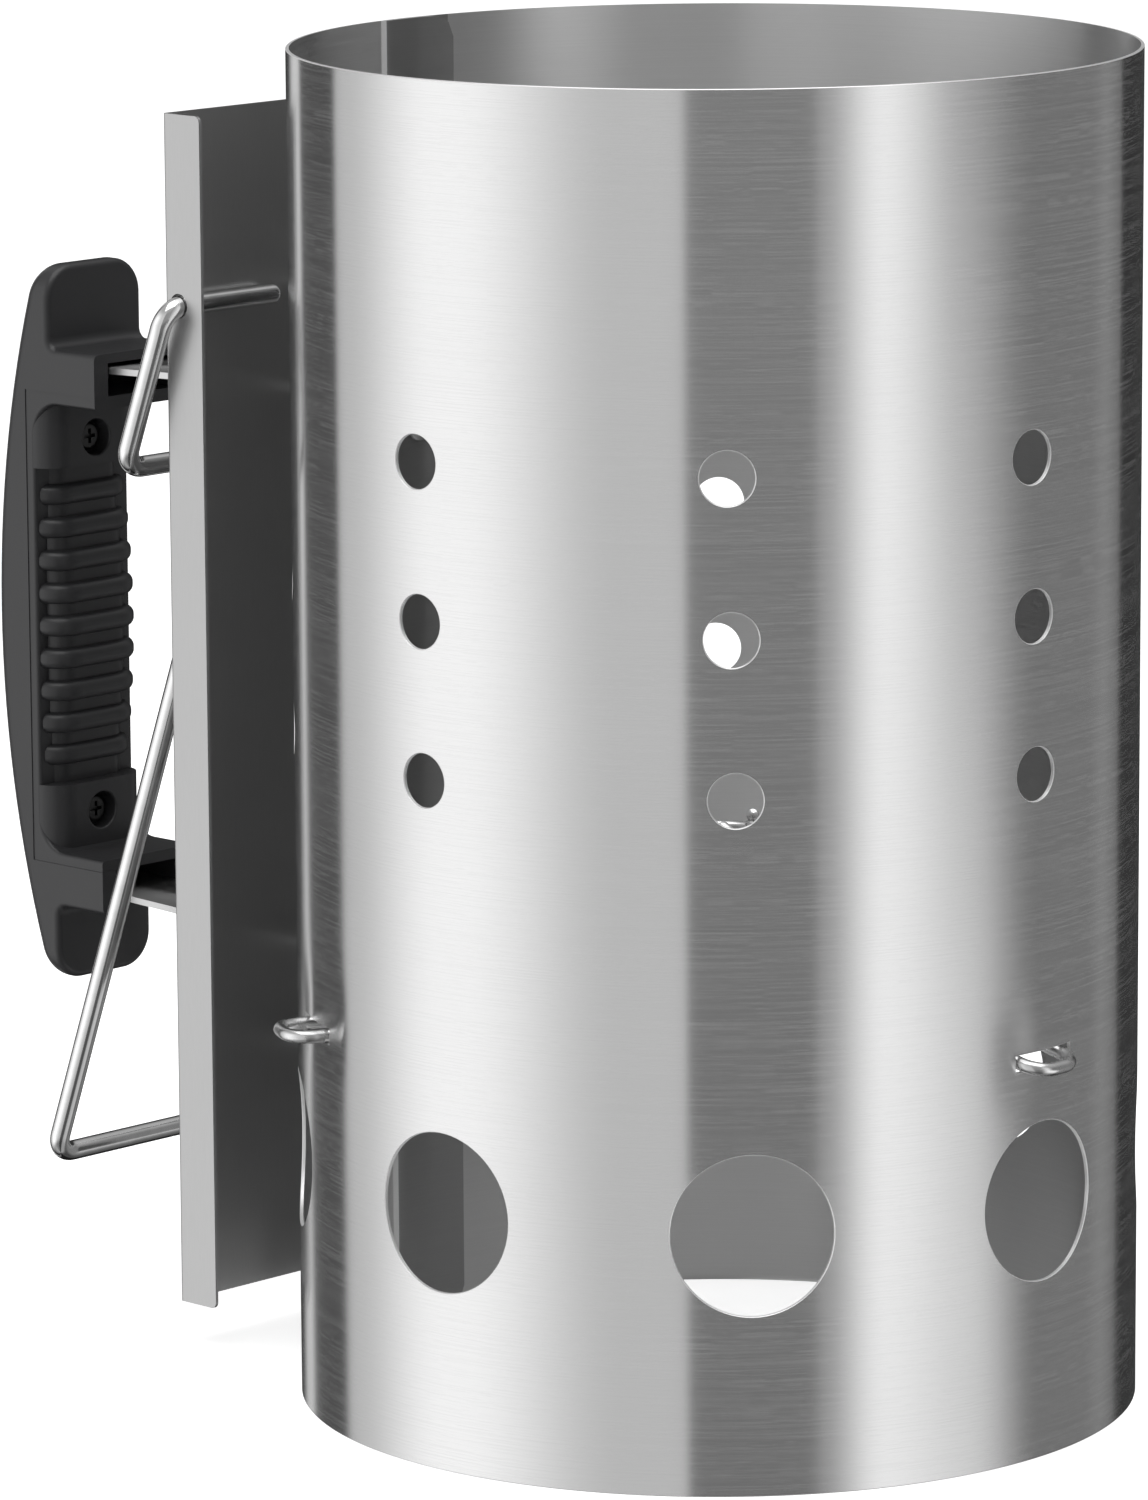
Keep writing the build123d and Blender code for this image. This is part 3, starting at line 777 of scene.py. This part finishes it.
# %% [markdown]
# ## Rivets
#
# Domed rivets in pairs hold the strap, the shield, the brackets and the wall together.
# A pair is two points with one rivet instanced on each: a shank and two flattened
# domes. The same tree makes the long pairs in the wall and the short ones in the shield.

# %% Rivet tree
def rivet_tree():
    """Two rivets, one above the other, that lie along X."""
    tree, size = shape_tree("rivet pair", {
        "Pitch": "Float", "Grip": "Float", "Head radius": "Float", "Head height": "Float",
        "Shank radius": "Float", "Centre": "Vector", "Finish": "Material"})
    dome = get(tree, "GeometryNodeMeshUVSphere", {"Segments": 32, "Rings": 20, "Radius": 1.0})
    flat = point(tree, size["Head height"], size["Head radius"], size["Head radius"])
    heads = [placed(tree, dome, Translation=point(tree, size["Grip"] * 0.5 * side), Scale=flat)
             for side in (-1.0, 1.0)]
    shank = get(tree, "GeometryNodeMeshCylinder", {
        "Vertices": 24, "Radius": size["Shank radius"], "Depth": size["Grip"]})
    rivet = join(tree, *heads, placed(tree, shank, Rotation=(0, pi / 2, 0)))
    spots = in_a_row(tree, 2, point(tree, z=size["Pitch"] * -0.5), point(tree, z=size["Pitch"]))
    pair = placed(tree, at_each(tree, spots, rivet), Translation=size["Centre"])
    end_tree(tree, crisp(tree, pair))
    return tree


# %% Rivets
rivet_pair = rivet_tree()
head_radius, head_height = 3.8 * MM, 1.5 * MM
for row in ("upper", "lower"):
    for use in ("shield_rivets", "tube_rivets"):
        low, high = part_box(f"{use}_{row}")
        pair = grow(f"{use}_{row}_domed", rivet_pair, {
            "Pitch": (high.z - low.z) - 2 * head_radius,
            "Grip": (high.x - low.x) - 2 * head_height,
            "Head radius": head_radius, "Head height": head_height, "Shank radius": 2 * MM,
            "Centre": tuple((low + high) / 2), "Finish": rivet_steel})
        stand_in_for(pair, "starter", "rivet_steel", f"{use}_{row}")

# %% [markdown]
# ## Finishes for the solids that stay
#
# The shield, the strap, the brackets, the two mouldings and the screws already have
# their true shape in the frame, so they only need their finish.

# %% Dress the solids
finishes = {
    "heat_shield": shield_steel, "handle_strap": strap_steel,
    "handle_shell": grip_plastic, "grip_insert": grip_plastic,
    "shield_spacer_upper": bracket_steel, "shield_spacer_lower": bracket_steel,
    "grip_screw_upper": screw_steel, "grip_screw_lower": screw_steel}
for name, material in finishes.items():
    nodes[name].data.materials.clear()
    nodes[name].data.materials.append(material)
print("solids dressed:", len(finishes))

# %% [markdown]
# ## Studio
#
# Steel has no colour of its own: it shows the room. In a plain white room a steel tube
# looks like paper, so the studio has bright screens with dark gaps between them. The
# room could be built from emitting planes, but then every plane has to be hidden from
# the camera. Here the world itself is the room: each screen is a range of compass
# directions with a soft or a hard side, and only reflections see it. The camera sees
# plain white.

# %% The screens
# Directions are in degrees round the object, from the camera's side; plus is to the right.
dim_room = 0.04
joint = 70                  # where the right screen ends and the grey wall starts
screens = [
    # name, left side, its softness, right side, its softness, brightness
    ("far left strip", -159, 5, -148, 1, 0.72),
    ("dim wall on the left", -148, 1, -122.5, 1, 0.06),
    ("left screen", -122.5, 1, -8, 1, 0.69),
    ("glow on the left screen", -99, 18, -50, 24, 0.66),
    ("grey gap before the camera", -8, 1, 27, 2, 0.22),
    ("pale strip beside the gap", 27, 2, 37, 9, 0.4),
    ("right screen", 37, 9, joint, 12, 1.24),
    ("grey wall on the right", joint, 12, 140, 1, 0.19),
    ("pale edge of the grey wall", 125, 5, 133, 5, 0.07),
]
joint_lean = 3.0            # degrees that the joint moves sideways for each degree of height
lean_level = -10.0          # height, in degrees, where the given joint holds
lean_low, lean_high = -16.0, -5.0   # the heights between which it moves
gap_rise = 0.0137           # how much lighter the grey gap gets for each degree upwards
ceiling = 0.5
ceiling_start, ceiling_end = 20.0, 50.0
ground_start, ground_end = -30.0, -55.0
ground_shade = 0.7          # the share of the light that the ground close by takes away
print("screens in the room:", len(screens))


# %% The room's brightness
def room_brightness(turn, height):
    """Adds up the screens for one direction, given by its turn and its height."""
    level = work_out("MAXIMUM", lean_low, work_out("MINIMUM", height, lean_high)) - lean_level
    leaned = turn + level * joint_lean
    total = dim_room
    for name, left, left_soft, right, right_soft, brightness in screens:
        begins = eased(leaned if left == joint else turn, left - left_soft, left + left_soft)
        ends = eased(leaned if right == joint else turn, right - right_soft, right + right_soft)
        if "gap" in name:
            brightness = brightness + level * gap_rise
        total = total + begins * (1.0 - ends) * brightness
    # The ceiling is an even grey, and the ground close by lies in shade.
    above = eased(height, ceiling_start, ceiling_end)
    below = eased(height, ground_start, ground_end)
    total = total * (1.0 - above) + above * ceiling
    return total * (1.0 - below * ground_shade)


# %% The world as a room
even_light = 0.55           # what dull surfaces get from every side


def build_room(camera_side):
    """Reflections see the screens, the camera sees white, and all else an even light."""
    world = bpy.data.worlds.new("room")
    bpy.context.scene.world = world
    world.use_nodes = True
    tree = world.node_tree
    tree.nodes.clear()
    way = get(tree, "ShaderNodeVectorRotate", {
        "Vector": get(tree, "ShaderNodeTexCoord", output="Generated"),
        "Angle": radians(-camera_side)}, rotation_type="Z_AXIS")
    x, y, z = parts_of(tree, way)
    turn = work_out("DEGREES", work_out("ARCTAN2", y, x))
    height = work_out("DEGREES", work_out("ARCSINE", z))
    room, dull, white = (
        get(tree, "ShaderNodeBackground", {"Color": (1, 1, 1, 1), "Strength": strength})
        for strength in (room_brightness(turn, height), even_light, 1.0))
    ray = add(tree, "ShaderNodeLightPath").outputs
    lit = get(tree, "ShaderNodeMixShader", {0: ray["Is Glossy Ray"], 1: dull, 2: room})
    seen = get(tree, "ShaderNodeMixShader", {0: ray["Is Camera Ray"], 1: lit, 2: white})
    add(tree, "ShaderNodeOutputWorld", {"Surface": seen})


camera_side = degrees(atan2(camera.location.y, camera.location.x))
build_room(camera_side)
print("camera side:", round(camera_side, 1), "degrees")

# %% [markdown]
# ## Floor and lamp
#
# The floor is white paper. It glows a little for the camera, so that it reads as white,
# and keeps the object's soft shadow. Reflections pass through it to the screens, as if
# the object stood on a low table. Inside the tube the paper lies in the dark, and the
# wall's inner side does show that, so a small disc of paper there is seen by reflections
# alone.

# %% Paper
def paper(name, glow):
    """White paper that adds a glow for the camera."""
    material, tree, shader = new_material(name)
    shader.inputs["Base Color"].default_value = (0.9, 0.9, 0.9, 1)
    shader.inputs["Roughness"].default_value = 0.9
    shader.inputs["Emission Color"].default_value = (1, 1, 1, 1)
    ray = add(tree, "ShaderNodeLightPath").outputs
    seen = work_out("MAXIMUM", Number(ray["Is Camera Ray"]), ray["Is Transmission Ray"])
    feed(shader.inputs["Emission Strength"], seen * glow)
    return material


def paper_disc(name, radius, height, material):
    """A round sheet of paper that isn't part of the object."""
    corners = 96
    turns = [2 * pi * step / corners for step in range(corners)]
    rim = [(radius * cos(turn), radius * sin(turn), height) for turn in turns]
    mesh = bpy.data.meshes.new(name)
    mesh.from_pydata(rim, [], [range(corners)])
    mesh.materials.append(material)
    disc = bpy.data.objects.new(name, mesh)
    bpy.context.scene.collection.objects.link(disc)
    return disc


# %% Floor
floor = paper_disc("floor", radius=8.0, height=0.0, material=paper("white paper", glow=0.62))
floor.visible_glossy = False
inside_floor = paper_disc("floor inside the tube", radius=tube_high.x - 1.5 * MM,
                          height=0.2 * MM, material=paper("shaded paper", glow=0.0))
inside_floor.visible_camera = False
inside_floor.visible_diffuse = False
inside_floor.visible_shadow = False
print("floor ready")

# %% Lamp
lamp_data = bpy.data.lights.new("top screen", "AREA")
lamp_data.size = 2.2
lamp_data.energy = 26.0
lamp = bpy.data.objects.new("top screen", lamp_data)
bpy.context.scene.collection.objects.link(lamp)
lamp.location = (0.2, -0.2, 2.2)
way_down = Vector((0, 0, 0.1)) - lamp.location
lamp.rotation_euler = way_down.to_track_quat("-Z", "Y").to_euler()
lamp.visible_camera = False
print("lamp ready")
